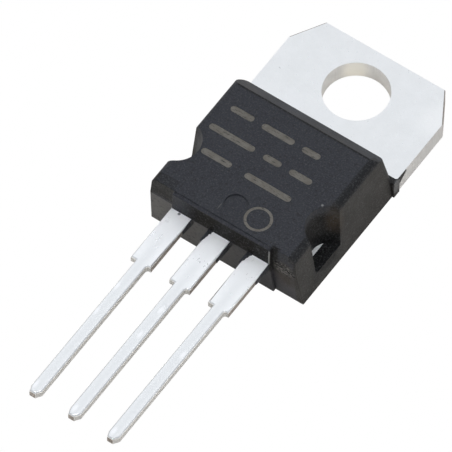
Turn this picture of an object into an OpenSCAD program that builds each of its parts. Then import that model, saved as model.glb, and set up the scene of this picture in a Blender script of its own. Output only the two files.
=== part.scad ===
// Three-lead voltage regulator: a moulded body on a flat heat-sink tab, lying on the tab's back.
// The origin is the centre of the mounting hole on the back face. +Z comes out of the front
// face, +Y points to the free end of the tab and the leads run towards -Y.

/* [Heat-sink tab] */
// Width of the tab
tab_w = 10.15; // [9.9:0.05:10.6]
// Thickness of the tab
tab_t = 1.27; // [1.1:0.01:1.4]
// Hole centre to the free end of the tab
hole_to_top = 2.83; // [2.65:0.01:3.2]
// Diameter of the mounting hole
hole_d = 3.82; // [3.4:0.01:4.2]
// Length of bare tab from its free end to the plastic
tab_free_l = 6.4; // [6:0.05:6.8]
// Width taken off each free corner
corner_cut_w = 1.12; // [0.4:0.02:1.6]
// Length taken off each free corner
corner_cut_l = 1.88; // [0.4:0.02:2.4]
// Bare tab left between the shoulder of the tab and the plastic above it
shoulder_gap = 0.07; // [0.02:0.01:0.15]
// Radius on the shoulder's outer corner
shoulder_r = 0.15; // [0.08:0.01:0.3]

/* [Die pad] */
// Width of the part of the tab that lies in the plastic
pad_w = 8.26; // [7.6:0.02:8.5]
// Plastic between the end of the pad and the lead end of the body
pad_end_gap = 1.75; // [1.55:0.05:2]
// Width of the step along the pad's back edges that the plastic grips
lock_w = 0.2; // [0.1:0.01:0.3]
// Height of that step above the back face
lock_h = 0.6; // [0.4:0.02:0.8]
// Width of the sealing groove across the pad
groove_w = 0.6; // [0.4:0.02:0.8]
// Depth of the sealing groove
groove_depth = 0.25; // [0.1:0.01:0.35]
// Plastic's tab end to the middle of the sealing groove
groove_from_end = 1; // [0.7:0.05:1.4]

/* [Moulded body] */
// Length of the body along the tab, at the height of the leads
body_l = 9.41; // [9.1:0.01:9.8]
// Tab's edge to the body's side, at the back face
side_inset = 0.05; // [0.02:0.01:0.2]
// Height of the front face above the back face
body_h = 4.5; // [4.3:0.02:4.8]
// Lean of the sides, in degrees
side_draft = 4.2; // [2:0.1:6]
// Lean of the end at the tab, in degrees
tab_end_draft = 12.1; // [7:0.1:14]
// Lean of the lead end under the leads, in degrees
lead_end_draft = 7.2; // [4:0.1:10]
// Lean of the lead end over the leads, in degrees
top_half_draft = 2.5; // [1:0.1:5]
// Length of the slope at the tab end of the front face
slope_run = 0.94; // [0.8:0.02:1.5]
// Height of that slope
slope_drop = 0.95; // [0.7:0.02:1.2]
// Radius along the front face's long edges
front_edge_r = 0.42; // [0.2:0.01:0.6]
// Radius of the upright corners at the tab end
tab_corner_r = 0.5; // [0.2:0.01:0.7]
// Radius of the upright corners under the leads
lead_corner_r = 0.08; // [0.04:0.01:0.4]
// Width of the raised block that the leads come out of
block_w = 6.42; // [6.2:0.02:7]
// Height of the raised block over the rest of the lead end
block_out = 0.21; // [0.1:0.01:0.3]
// Step down from the front face to the top of the block
block_step = 0.06; // [0.02:0.01:0.15]
// How far the plastic ears stand out past the tab's edges
ear_out = 0.07; // [0.03:0.01:0.12]
// Length of the ears along the body
ear_l = 0.36; // [0.2:0.02:0.6]
// Length of the thin lip that each ear has along the tab's edge
ear_lip = 0.17; // [0.1:0.01:0.3]

/* [Side notches] */
// Lead end of the body to the middle of the notches
notch_from_end = 3.12; // [2.9:0.02:3.4]
// Middle of a notch past the body's side at the back
notch_past_side = 0.04; // [-0.1:0.01:0.15]
// Radius of a notch at the front face
notch_r_front = 1.41; // [1.3:0.01:1.6]
// Radius of a notch at its floor
notch_r_floor = 1.17; // [1:0.01:1.28]

/* [Ejector mark] */
// Diameter of the shallow round mark on the front face
mark_d = 1.3; // [0.8:0.05:1.8]
// Depth of the mark
mark_depth = 0.08; // [0.03:0.01:0.15]
// Lead end of the body to the middle of the mark
mark_from_end = 1.45; // [1.2:0.05:2]

/* [Leads] */
// Distance between neighbouring leads
lead_pitch = 2.54; // [2.4:0.01:2.7]
// Thickness of the leads
lead_t = 0.52; // [0.45:0.01:0.65]
// Underside of the leads above the back face
lead_z = 2.64; // [2.4:0.01:2.75]
// Length of a lead outside the body
lead_l = 13.9; // [13:0.05:14.5]
// Width of a lead's narrow part
lead_w = 0.72; // [0.62:0.01:0.8]
// Reach of the wide part to the left of a lead's middle
wide_left = 0.71; // [0.57:0.01:0.8]
// Reach of the wide part to the right of a lead's middle
wide_right = 0.62; // [0.57:0.01:0.8]
// Length of the wide part outside the body
wide_l = 3.8; // [3.4:0.05:4.2]
// Radius in the right-hand shoulder of a lead
lead_shoulder_r = 0.16; // [0.05:0.01:0.16]
// Width taken off the left side of a lead's tip
tip_cut_left = 0.12; // [0.05:0.01:0.2]
// Width taken off the right side of a lead's tip
tip_cut_right = 0.24; // [0.05:0.01:0.3]
// Length of the cuts at a lead's tip
tip_cut_l = 0.34; // [0.2:0.01:0.5]

/* [Inside the plastic] */
// Plastic outside the bond posts, at the lead end
post_wall = 0.4; // [0.3:0.01:0.5]
// Length of a bond post along the body
post_l = 1.05; // [0.8:0.05:1.2]
// Width of a bond post
post_w = 2.5; // [2.2:0.05:2.6]
// Outer edge of a bond post from the body's middle
post_reach = 4.1; // [3.95:0.01:4.2]
// Diameter of the lock hole in a bond post
post_hole_d = 0.5; // [0.3:0.02:0.6]
// Inner edge of a bond post to the foot of its wire
wire_inset = 0.5; // [0.3:0.05:0.6]
// Run over which the middle lead climbs from the pad
climb_run = 0.65; // [0.5:0.01:0.7]
// Flat length of the middle lead before it climbs
climb_start = 0.25; // [0.15:0.01:0.3]
// Width of the silicon die
die_w = 2.4; // [1.8:0.1:3]
// Length of the silicon die
die_l = 2.1; // [1.6:0.1:2.6]
// Thickness of the silicon die
die_t = 0.35; // [0.2:0.01:0.4]
// Plastic's tab end to the middle of the die
die_from_end = 4.2; // [3.8:0.1:4.6]
// Thickness of the solder under the die
solder_t = 0.05; // [0.03:0.01:0.1]
// Width of solder showing round the die
solder_rim = 0.1; // [0.05:0.01:0.2]
// Diameter of a bond wire
wire_d = 0.2; // [0.12:0.01:0.25]
// Rise of the long wires over the line between their ends
wire_rise = 0.85; // [0.6:0.05:0.95]
// Rise of the short ground wire
ground_rise = 0.45; // [0.35:0.05:0.6]
// Diameter of the foot at each end of a wire
foot_d = 0.42; // [0.36:0.01:0.5]
// Thickness of that foot
foot_t = 0.1; // [0.06:0.01:0.12]
// Free length of the ground wire along the body
ground_span = 1.5; // [1.3:0.05:1.7]

/* [Hidden] */

round_faces = 96;
far = 20;
block_root = 2;
plastic_y = hole_to_top - tab_free_l;
shoulder_y = plastic_y + shoulder_gap;
lead_end_y = plastic_y - body_l;
corner_end_y = lead_end_y + block_out;
pad_end_y = lead_end_y + pad_end_gap;
die_y = plastic_y - die_from_end;
notch_y = lead_end_y + notch_from_end;
foot_x = tab_w / 2 - side_inset;
notch_x = foot_x + notch_past_side;
lead_top_z = lead_z + lead_t;
die_z = tab_t + solder_t;
die_top_z = die_z + die_t;
tip_y = lead_end_y - lead_l;
wide_end_y = lead_end_y - wide_l;
post_y = corner_end_y + post_wall;

black_plastic = [0.16, 0.17, 0.19];
tinned_copper = [0.86, 0.88, 0.91];
bare_silicon = [0.35, 0.37, 0.42];
soft_solder = [0.62, 0.63, 0.65];
bond_metal = [0.85, 0.85, 0.84];

function unit(v) = v / norm(v);

// Flat outlines

// Half of the wide part of the tab, right of the middle
module half_tab_outline() {
    half = tab_w / 2;
    polygon([[0, hole_to_top],
             [half - corner_cut_w, hole_to_top],
             [half, hole_to_top - corner_cut_l],
             [half, shoulder_y + shoulder_r],
             [half - shoulder_r, shoulder_y],
             [0, shoulder_y]]);
    translate([half - shoulder_r, shoulder_y + shoulder_r]) circle(shoulder_r, $fn = round_faces);
}

// Section across the body: leaning sides and rounded long edges of the front face
module across_outline() {
    mid_z = body_h - front_edge_r;
    mid_x = foot_x - mid_z * tan(side_draft) - front_edge_r / cos(side_draft);
    side_x = mid_x + front_edge_r * cos(side_draft);
    side_z = mid_z + front_edge_r * sin(side_draft);
    polygon([[-foot_x, 0], [foot_x, 0], [side_x, side_z], [mid_x, body_h],
             [-mid_x, body_h], [-side_x, side_z]]);
    for (s = [-1, 1])
        translate([s * mid_x, mid_z]) circle(front_edge_r, $fn = round_faces);
}

// Section along the body, from the slope at the tab end to the lead end at end_y
module along_outline(end_y, top_z) {
    slope_z = body_h - slope_drop;
    slope_y = plastic_y - (slope_z - tab_t) * tan(tab_end_draft);
    polygon([[shoulder_y, 0],
             [shoulder_y, tab_t],
             [plastic_y, tab_t],
             [slope_y, slope_z],
             [slope_y - slope_run, top_z],
             [end_y + (top_z - lead_top_z) * tan(top_half_draft), top_z],
             [end_y, lead_top_z],
             [end_y + lead_top_z * tan(lead_end_draft), 0]]);
}

// Outline of a lead seen from the front, from inner_y to its cut tip
module lead_outline(inner_y) {
    half = lead_w / 2;
    fillet_x = half + lead_shoulder_r;
    fillet_y = wide_end_y - lead_shoulder_r;
    difference() {
        polygon([[-wide_left, inner_y],
                 [wide_right, inner_y],
                 [wide_right, wide_end_y],
                 [fillet_x, wide_end_y],
                 [fillet_x, fillet_y],
                 [half, fillet_y],
                 [half, tip_y + tip_cut_l],
                 [half - tip_cut_right, tip_y],
                 [-half + tip_cut_left, tip_y],
                 [-half, tip_y + tip_cut_l],
                 [-half, wide_end_y],
                 [-wide_left, wide_end_y]]);
        translate([fillet_x, fillet_y]) circle(lead_shoulder_r, $fn = round_faces);
    }
}

// Solids that several pieces are made from

// Lays an outline drawn in Y and Z across the part, w wide and centred
module extrude_across(w) {
    translate([-w / 2, 0, 0]) rotate([90, 0, 90]) linear_extrude(w) children();
}

// Cuts the upright corner between a side and an end round. The side leans in by the angle a
// and the end by b, and the edge starts at the point at on the plane z = at.z.
module round_upright_corner(at, a, b, r, h) {
    side_n = [cos(a), 0, sin(a)];
    end_n = [0, cos(b), sin(b)];
    edge = unit([-tan(a), -tan(b), 1]);
    other = cross(edge, side_n);
    turn = acos(side_n * end_n);
    reach = 3 * r;
    axis = at - [r / cos(a), r / cos(b), 0];
    multmatrix([[side_n.x, other.x, edge.x, axis.x],
                [side_n.y, other.y, edge.y, axis.y],
                [side_n.z, other.z, edge.z, axis.z]])
        translate([0, 0, -1]) linear_extrude(h + 2) difference() {
            polygon([[0, 0], [reach, 0], [reach + reach * cos(turn), reach * sin(turn)],
                     [reach * cos(turn), reach * sin(turn)]]);
            circle(r, $fn = round_faces);
        }
}

// Body without its raised block, notches or hollows
module plain_body() {
    corner_foot_y = corner_end_y + lead_top_z * tan(lead_end_draft);
    difference() {
        intersection() {
            translate([0, far, 0]) rotate([90, 0, 0]) linear_extrude(2 * far) across_outline();
            extrude_across(far) along_outline(corner_end_y, body_h);
        }
        for (s = [0, 1]) mirror([s, 0, 0]) {
            intersection() {
                round_upright_corner([foot_x, plastic_y + tab_t * tan(tab_end_draft), 0],
                                     side_draft, tab_end_draft, tab_corner_r, body_h);
                translate([0, -far, tab_t]) cube([far, 2 * far, far]);
            }
            intersection() {
                mirror([0, 1, 0])
                    round_upright_corner([foot_x, -corner_foot_y, 0], side_draft,
                                         -lead_end_draft, lead_corner_r, lead_top_z);
                translate([0, -far, -1]) cube([far, 2 * far, lead_top_z + 1]);
            }
        }
    }
}

// Raised block round the leads, up to the step below the front face
module lead_block() {
    intersection() {
        extrude_across(block_w) along_outline(lead_end_y, body_h - block_step);
        translate([-far / 2, lead_end_y - 1, -1]) cube([far, block_root + 1, far]);
    }
}

// Ears of plastic in the tab's shoulders
module ears() {
    reach = tab_w / 2 + ear_out;
    inner = pad_w / 2;
    for (s = [0, 1]) mirror([s, 0, 0])
        translate([inner, shoulder_y - ear_l, 0]) cube([reach - inner, ear_l + ear_lip, tab_t]);
}

// Leaning round notches in the sides, down to the front of the pad
module notches() {
    depth = body_h - tab_t;
    extra = 0.5;
    slope = (notch_r_front - notch_r_floor) / depth;
    for (s = [-1, 1])
        translate([s * notch_x, notch_y, tab_t])
            cylinder(h = depth + extra, r1 = notch_r_floor, r2 = notch_r_front + slope * extra,
                     $fn = round_faces);
}

// Outer lead with its bond post, on the left (side -1) or on the right (side 1)
module outer_lead(side) {
    post_x = side * (post_reach - post_w / 2);
    translate([0, 0, lead_z]) difference() {
        union() {
            linear_extrude(lead_t)
                translate([side * lead_pitch, 0]) lead_outline(post_y + post_l / 2);
            translate([post_x - post_w / 2, post_y, 0]) cube([post_w, post_l, lead_t]);
        }
        translate([post_x, post_y + post_l / 2, -1])
            cylinder(h = lead_t + 2, d = post_hole_d, $fn = round_faces);
    }
}

// Pieces of the regulator

module heatsink_tab_with_centre_lead() {
    color(tinned_copper) {
        difference() {
            union() {
                linear_extrude(tab_t) {
                    half_tab_outline();
                    mirror([1, 0]) half_tab_outline();
                }
                translate([-pad_w / 2, pad_end_y, lock_h])
                    cube([pad_w, shoulder_y - pad_end_y + shoulder_r, tab_t - lock_h]);
                translate([-pad_w / 2 + lock_w, pad_end_y + lock_w, 0])
                    cube([pad_w - 2 * lock_w, shoulder_y - pad_end_y, lock_h]);
            }
            translate([0, 0, -1]) cylinder(h = tab_t + 2, d = hole_d, $fn = round_faces);
            extrude_across(far) polygon([[plastic_y - groove_from_end - groove_w / 2, tab_t],
                                         [plastic_y - groove_from_end, tab_t - groove_depth],
                                         [plastic_y - groove_from_end + groove_w / 2, tab_t],
                                         [plastic_y - groove_from_end, tab_t + 1]]);
        }
        centre_lead();
    }
}

// Middle lead, which leaves the pad's end and climbs to the plane of the outer leads
module centre_lead() {
    foot_y = pad_end_y - climb_start;
    top_y = foot_y - climb_run;
    low_z = tab_t - lead_t;
    rise = lead_z - low_z;
    // Shift of the mitred bends, which keeps the strip's thickness through the climb
    lean = atan2(rise, climb_run);
    mitre = lead_t * tan(lean / 2);
    intersection() {
        extrude_across(far) polygon([[pad_end_y + lead_t, low_z],
                                     [pad_end_y + lead_t, tab_t],
                                     [foot_y, tab_t],
                                     [top_y, lead_top_z],
                                     [tip_y - 1, lead_top_z],
                                     [tip_y - 1, lead_z],
                                     [top_y - mitre, lead_z],
                                     [foot_y - mitre, low_z]]);
        linear_extrude(lead_top_z + 1) lead_outline(pad_end_y + lead_t);
    }
}

module left_lead() {
    color(tinned_copper) outer_lead(-1);
}

module right_lead() {
    color(tinned_copper) outer_lead(1);
}

module silicon_die() {
    color(bare_silicon) translate([-die_w / 2, die_y - die_l / 2, die_z]) cube([die_w, die_l, die_t]);
}

module die_solder() {
    color(soft_solder)
        translate([-die_w / 2 - solder_rim, die_y - die_l / 2 - solder_rim, tab_t])
            cube([die_w + 2 * solder_rim, die_l + 2 * solder_rim, solder_t]);
}

// Wire from a to b, bowed upwards by rise, with a flat foot at each end
module bond_wire(a, b, rise) {
    flat = norm([b.x - a.x, b.y - a.y]);
    chord = norm([flat, b.z - a.z]);
    tilt = atan2(b.z - a.z, flat);
    r = (chord * chord / 4 + rise * rise) / (2 * rise);
    half_turn = asin(chord / 2 / r);
    heading = atan2(b.y - a.y, b.x - a.x);
    overrun = 3;
    difference() {
        translate(a) rotate([0, 0, heading]) rotate([90, 0, 0]) rotate([0, 0, tilt])
            translate([chord / 2, rise - r, 0])
                rotate([0, 0, 90 - half_turn - overrun])
                    rotate_extrude(angle = 2 * (half_turn + overrun), $fn = round_faces)
                        translate([r, 0]) circle(d = wire_d, $fn = 32);
        for (end = [a, b])
            translate(end - [foot_d, foot_d, foot_d]) cube([2 * foot_d, 2 * foot_d, foot_d]);
    }
    translate(a) cylinder(h = foot_t, d = foot_d, $fn = round_faces);
    translate(b) cylinder(h = foot_t, d = foot_d, $fn = round_faces);
}

// Long wire on the right-hand side, from the die to the bond post
module long_wire() {
    bond_wire([die_w / 4, die_y - die_l / 4, die_top_z],
              [post_reach - post_w + wire_inset, post_y + post_l / 2, lead_top_z], wire_rise);
}

module left_bond_wire() {
    color(bond_metal) mirror([1, 0, 0]) long_wire();
}

module right_bond_wire() {
    color(bond_metal) long_wire();
}

module ground_bond_wire() {
    color(bond_metal) bond_wire([0, die_y + die_l / 4, die_top_z],
                                [0, die_y + die_l / 4 + ground_span, tab_t], ground_rise);
}

module moulded_body() {
    color(black_plastic) difference() {
        union() {
            plain_body();
            lead_block();
            ears();
        }
        notches();
        translate([0, lead_end_y + mark_from_end, body_h - mark_depth])
            cylinder(h = 1, d = mark_d, $fn = round_faces);
        heatsink_tab_with_centre_lead();
        left_lead();
        right_lead();
        silicon_die();
        die_solder();
        left_bond_wire();
        right_bond_wire();
        ground_bond_wire();
    }
}

moulded_body();
heatsink_tab_with_centre_lead();
left_lead();
right_lead();
silicon_die();
die_solder();
left_bond_wire();
right_bond_wire();
ground_bond_wire();
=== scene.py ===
# %% [markdown]
# # A three-lead voltage regulator, dressed around its solids
#
# The real part is a flat copper tab, stamped in one piece with its middle lead, and two loose
# outer leads. A black block of moulded epoxy is pressed around them and holds the chip inside.
# The solids come from the construction model. This script copies their meshes, rounds the edges
# that catch the light, adds what moulding and cutting leave behind, and paints every surface.
# All lengths are in metres, and sizes written in millimetres are multiplied by MM.

# %% Load the solids
import math
import random

import bmesh
import bpy
from mathutils import Euler, Matrix, Vector


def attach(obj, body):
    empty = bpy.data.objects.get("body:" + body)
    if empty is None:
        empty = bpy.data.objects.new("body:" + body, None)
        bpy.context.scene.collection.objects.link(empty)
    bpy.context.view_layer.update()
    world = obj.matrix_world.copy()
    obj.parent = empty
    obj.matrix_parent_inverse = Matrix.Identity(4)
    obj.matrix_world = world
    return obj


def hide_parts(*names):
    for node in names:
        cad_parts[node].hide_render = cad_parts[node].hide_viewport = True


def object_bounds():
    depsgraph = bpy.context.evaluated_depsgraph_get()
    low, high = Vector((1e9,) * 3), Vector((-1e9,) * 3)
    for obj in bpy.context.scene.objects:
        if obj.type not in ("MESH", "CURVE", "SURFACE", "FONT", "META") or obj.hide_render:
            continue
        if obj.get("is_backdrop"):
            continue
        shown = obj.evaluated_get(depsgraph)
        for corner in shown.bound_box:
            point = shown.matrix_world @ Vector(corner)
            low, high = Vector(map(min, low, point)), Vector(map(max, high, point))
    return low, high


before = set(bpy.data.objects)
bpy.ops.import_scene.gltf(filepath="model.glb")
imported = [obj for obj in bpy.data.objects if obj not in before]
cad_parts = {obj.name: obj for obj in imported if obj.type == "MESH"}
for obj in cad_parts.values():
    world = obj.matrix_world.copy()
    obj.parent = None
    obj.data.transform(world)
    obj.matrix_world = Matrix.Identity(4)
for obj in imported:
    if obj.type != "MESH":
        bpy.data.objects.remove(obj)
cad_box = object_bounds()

MM = 0.001
print("solids:", ", ".join(sorted(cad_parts)))

# %% [markdown]
# The camera looks down on the part from the lead end, a little from its right. A very long lens
# from far away gives the nearly parallel edges of a product photograph. It stands on a line that
# is given by two angles and aims at a point just in front of the body.

# %% Camera
VIEW_ANGLE = 34.995
VIEW_HEIGHT = 56.818
VIEW_DISTANCE = 0.636
VIEW_ROLL = -0.20
LENS = 926.4
aim = Vector((-2.676, -8.633, -3.620)) * MM

turn, rise = math.radians(VIEW_ANGLE), math.radians(VIEW_HEIGHT)
flat = math.cos(rise)
towards_camera = Vector((math.sin(turn) * flat, -math.cos(turn) * flat, math.sin(rise)))
camera_data = bpy.data.cameras.new("camera")
camera_data.sensor_width = 36
camera_data.lens = LENS
camera_data.clip_start = 0.01
camera = bpy.data.objects.new("camera", camera_data)
camera.location = aim + towards_camera * VIEW_DISTANCE
level = Euler((math.pi / 2 - rise, 0, turn)).to_matrix()
camera.rotation_euler = (level @ Matrix.Rotation(math.radians(VIEW_ROLL), 3, "Z")).to_euler()
bpy.context.scene.collection.objects.link(camera)
bpy.context.scene.camera = camera
print("camera at", [round(v, 4) for v in camera.location])

# %% [markdown]
# Every paint here is a tree of nodes. The helpers add a node, give its inputs their values, and do
# one step of arithmetic or one mix, so that a whole effect reads as a few lines.

# %% Node helpers


def fill(tree, node, *ordered, **named):
    """Gives a node's inputs their values, in order (None skips one) or by name. A socket is linked."""
    pairs = list(zip(node.inputs, ordered))
    pairs += [(node.inputs[key.replace("_", " ")], value) for key, value in named.items()]
    for socket, value in pairs:
        if isinstance(value, bpy.types.NodeSocket):
            tree.links.new(value, socket)
        elif value is not None:
            socket.default_value = value
    return node


def add(tree, kind, place, settings=None, *ordered, **named):
    """Adds a node at a grid place, with its properties and the values of its inputs."""
    made = tree.nodes.new("ShaderNode" + kind)
    made.location = (place[0] * 200, place[1] * -180)
    for key, value in (settings or {}).items():
        setattr(made, key, value)
    return fill(tree, made, *ordered, **named)


def calculate(tree, place, operation, *values):
    """One step of arithmetic on values, each a socket or a number."""
    return add(tree, "Math", place, {"operation": operation}, *values).outputs[0]


def vector(tree, place, operation, *values):
    """One step of arithmetic on vectors."""
    made = add(tree, "VectorMath", place, {"operation": operation}, *values)
    return made.outputs["Value" if operation == "LENGTH" else "Vector"]


def spread(tree, value, place, low, high, out_low=0.0, out_high=1.0, soft=False):
    """A value's range from low to high, opened out to a new range, with soft ends or without."""
    settings = {"interpolation_type": "SMOOTHSTEP" if soft else "LINEAR"}
    return add(tree, "MapRange", place, settings, value, low, high, out_low, out_high).outputs[0]


def mix_colours(tree, share, one, two, place):
    """Mixes two colours by a share. They are the seventh and eighth input of the mixing node."""
    return add(tree, "Mix", place, {"data_type": "RGBA"}, share, *[None] * 5, one, two).outputs[2]


# %% [markdown]
# The photograph is a cut-out on plain white, with soft light from a large lamp behind the part and
# none of the lamps' own shapes to be seen. A white floor could be lit until it burns out, but then
# it also floods the sides of the leads. So the floor shows itself to the camera as nearly white and
# gives the part a quieter, slightly warm light from below: what it reflects, and a little glow. The
# body would shade the leads where they leave it, so a narrow spotlight fills that shade in.

# %% Floor and light
FLOOR_SEEN = 1.0
FLOOR_BOUNCE = (0.86, 0.82, 0.76, 1)
GLOW, GLOW_POWER = (1.0, 0.93, 0.84, 1), 0.18
SKY, SKY_POWER = (0.90, 0.94, 1.0, 1), 0.62
PART_MIDDLE, LEAD_ROOTS = (0, -0.010, 0.002), (0, -0.0150, 0.0031)
SPOT_DISTANCE, SPOT_REACH = 0.25, 0.0042

scene = bpy.context.scene
scene.view_settings.view_transform = "Standard"
scene.view_settings.look = "None"

floor_mesh = bpy.data.meshes.new("floor")
floor_mesh.from_pydata([(-3, -3, 0), (3, -3, 0), (3, 3, 0), (-3, 3, 0)], [], [(0, 1, 2, 3)])
floor = bpy.data.objects.new("floor", floor_mesh)
floor.location.z = -0.00002
scene.collection.objects.link(floor)
floor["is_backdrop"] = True

floor_paint = bpy.data.materials.new("white_floor")
floor_paint.use_nodes = True
tree = floor_paint.node_tree
tree.nodes.clear()
camera_ray = add(tree, "LightPath", (0, -2)).outputs["Is Camera Ray"]
bounce = add(tree, "BsdfDiffuse", (0, 0), Color=FLOOR_BOUNCE).outputs[0]
glow = add(tree, "Emission", (0, 1), Color=GLOW, Strength=GLOW_POWER).outputs[0]
seen = add(tree, "Emission", (0, 2), Strength=FLOOR_SEEN).outputs[0]
both = add(tree, "AddShader", (1, 0), None, bounce, glow).outputs[0]
blend = add(tree, "MixShader", (2, 0), None, camera_ray, both, seen).outputs[0]
add(tree, "OutputMaterial", (3, 0), Surface=blend)
floor_mesh.materials.append(floor_paint)

world = bpy.data.worlds.new("studio")
world.use_nodes = True
fill(world.node_tree, world.node_tree.nodes["Background"], Color=SKY, Strength=SKY_POWER)
scene.world = world


def hang(lamp_data, target, direction, distance):
    """Hangs a lamp in the given direction from a target, and turns it to face that."""
    lamp = bpy.data.objects.new(lamp_data.name, lamp_data)
    away = Vector(direction).normalized()
    lamp.location = Vector(target) + away * distance
    lamp.rotation_euler = away.to_track_quat("Z", "Y").to_euler()
    scene.collection.objects.link(lamp)


for name, direction, distance, size, power, colour in (
        ("back_lamp", (-0.31, 0.45, 0.84), 0.30, 0.26, 0.08, (0.97, 0.98, 1.0)),
        ("top_lamp", (0.1, 0.0, 1.0), 0.35, 0.20, 0.02, (1.0, 0.99, 0.97))):
    soft = bpy.data.lights.new(name, "AREA")
    soft.shape, soft.size, soft.energy, soft.color = "SQUARE", size, power, colour
    hang(soft, PART_MIDDLE, direction, distance)

lead_spot = bpy.data.lights.new("lead_spot", "SPOT")
lead_spot.energy = 14
lead_spot.spot_size = 2 * math.atan(SPOT_REACH / SPOT_DISTANCE)
lead_spot.spot_blend = 0.7
lead_spot.shadow_soft_size = 0.02
hang(lead_spot, LEAD_ROOTS, (0, -0.14, 0.99), SPOT_DISTANCE)

# %% [markdown]
# Each finish mixes a few effects that several finishes share. An effect is a node group with named
# inputs, so that one group gives coarse speckle in the plastic and fine grain in the metal. The
# shader itself stays in each material. Sizes go into the groups in millimetres.

# %% Group helpers


def start_group(name, inputs, outputs):
    """A new node group. Gives the group, the point in space, what it is given and what it puts out."""
    group = bpy.data.node_groups.new(name, "ShaderNodeTree")
    for label, kind, default in inputs:
        socket = group.interface.new_socket(name=label, in_out="INPUT", socket_type="NodeSocket" + kind)
        socket.default_value = default
    for label, kind in outputs:
        group.interface.new_socket(name=label, in_out="OUTPUT", socket_type="NodeSocket" + kind)
    given, result = group.nodes.new("NodeGroupInput"), group.nodes.new("NodeGroupOutput")
    given.location.x, result.location.x = -1200, 1600
    return group, add(group, "TexCoord", (-5, 2)).outputs["Object"], given.outputs, result


def noise(tree, place, where, scale, detail, roughness):
    made = add(tree, "TexNoise", place, Vector=where, Scale=scale, Detail=detail, Roughness=roughness)
    return made.outputs[0]


def place_group(tree, group, place, *ordered):
    """An instance of a node group, with its own values in the order of the group's inputs."""
    return add(tree, "Group", place, {"node_tree": group}, *ordered)


# %% [markdown]
# Grain is what the surface of the mould or of the plating leaves: tiny bumps, some of which catch
# the light. Noise at two sizes, one three times finer than the other, gives it without a repeat.
# The group puts out the height as a value for colour and roughness, and a bumped normal.

# %% Grain group
grain, where, given, result = start_group(
    "surface_grain",
    [("Size mm", "Float", 0.1), ("Depth mm", "Float", 0.004), ("Stretch", "Vector", (1.0, 1.0, 1.0))],
    [("Grain", "Float"), ("Normal", "Vector")])
FINER = 3.1
stretched = vector(grain, (-3, 1), "MULTIPLY", where, given["Stretch"])
per_metre = calculate(grain, (-3, 0), "DIVIDE", 1 / MM, given["Size mm"])
coarse = noise(grain, (-1, 0), stretched, per_metre, 3.0, 0.6)
fine = noise(grain, (-1, -2), stretched, calculate(grain, (-2, -1), "MULTIPLY", per_metre, FINER), 2.0, 0.7)
both = add(grain, "Mix", (1, 0), {"data_type": "FLOAT"}, 0.4, None, coarse, fine).outputs[0]
metres = calculate(grain, (1, 2), "MULTIPLY", given["Depth mm"], MM)
bump = add(grain, "Bump", (3, 1), Strength=1.0, Distance=metres, Height=both)
fill(grain, result, both, bump.outputs[0])

# %% [markdown]
# Blotches are the slow changes over a surface: a film of release agent on the plastic, or uneven
# plating on the metal. The group mixes two colours over a soft noise and also gives its mask.

# %% Blotch group
blotch, where, given, result = start_group(
    "slow_blotches",
    [("Size mm", "Float", 2.0), ("Sharpness", "Float", 0.3),
     ("Colour one", "Color", (0.5, 0.5, 0.5, 1)), ("Colour two", "Color", (0.6, 0.6, 0.6, 1))],
    [("Colour", "Color"), ("Mask", "Float")])
per_metre = calculate(blotch, (-3, 0), "DIVIDE", 1 / MM, given["Size mm"])
cloud = noise(blotch, (-2, 0), where, per_metre, 4.0, 0.55)
half_band = calculate(blotch, (-3, 2), "MULTIPLY_ADD", given["Sharpness"], -0.25, 0.27)
low_end = calculate(blotch, (-2, 2), "SUBTRACT", 0.5, half_band)
high_end = calculate(blotch, (-2, 3), "ADD", 0.5, half_band)
mask = spread(blotch, cloud, (0, 0), low_end, high_end, soft=True)
tint = mix_colours(blotch, mask, given["Colour one"], given["Colour two"], (2, 0))
fill(blotch, result, tint, mask)

# %% [markdown]
# A spot is a soft round place at a given point. It stands for one stain, one dimple or one patch of
# worn surface. The part has several, so the distance to a point is worked out once, in a group.

# %% Spot group


def start_place(name, size, edge):
    """A group for one place, with three inputs and a mask. Gives the way from its centre too."""
    group, where, given, result = start_group(
        name, [("Centre mm", "Vector", (0.0, 0.0, 0.0)), (size, "Vector", (1.0, 1.0, 1.0)), edge],
        [("Mask", "Float")])
    in_mm = vector(group, (-3, 2), "MULTIPLY", where, (1 / MM,) * 3)
    return group, vector(group, (-2, 1), "SUBTRACT", in_mm, given["Centre mm"]), given, result


spot, offset, given, result = start_place("one_spot", "Reach mm", ("Softness", "Float", 0.5))
length = vector(spot, (0, 1), "LENGTH", vector(spot, (-1, 1), "DIVIDE", offset, given["Reach mm"]))
inner = calculate(spot, (0, 3), "SUBTRACT", 1.0, given["Softness"])
fill(spot, result, spread(spot, length, (2, 1), inner, 1.0, 1.0, 0.0, soft=True))

# %% [markdown]
# Some places end at a line and not at a point: the half of the lead end under the parting line, or
# the side of a lead. A soft box is 1 inside and fades out past each pair of its faces over its own
# width, so one face can be sharp while the next one fades over the whole part.

# %% Soft box group
soft_box, offset, given, result = start_place("soft_box", "Half mm", ("Fade mm", "Vector", (0.1, 0.1, 0.1)))
past = vector(soft_box, (0, 1), "SUBTRACT", vector(soft_box, (-1, 1), "ABSOLUTE", offset), given["Half mm"])
shares = vector(soft_box, (1, 1), "DIVIDE", past, given["Fade mm"])
axes = add(soft_box, "SeparateXYZ", (2, 1), None, shares).outputs
most = calculate(soft_box, (3, 0), "MAXIMUM", axes[0], axes[1])
most = calculate(soft_box, (4, 1), "MAXIMUM", most, axes[2])
fill(soft_box, result, spread(soft_box, most, (5, 1), 0.0, 1.0, 1.0, 0.0, soft=True))
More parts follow.
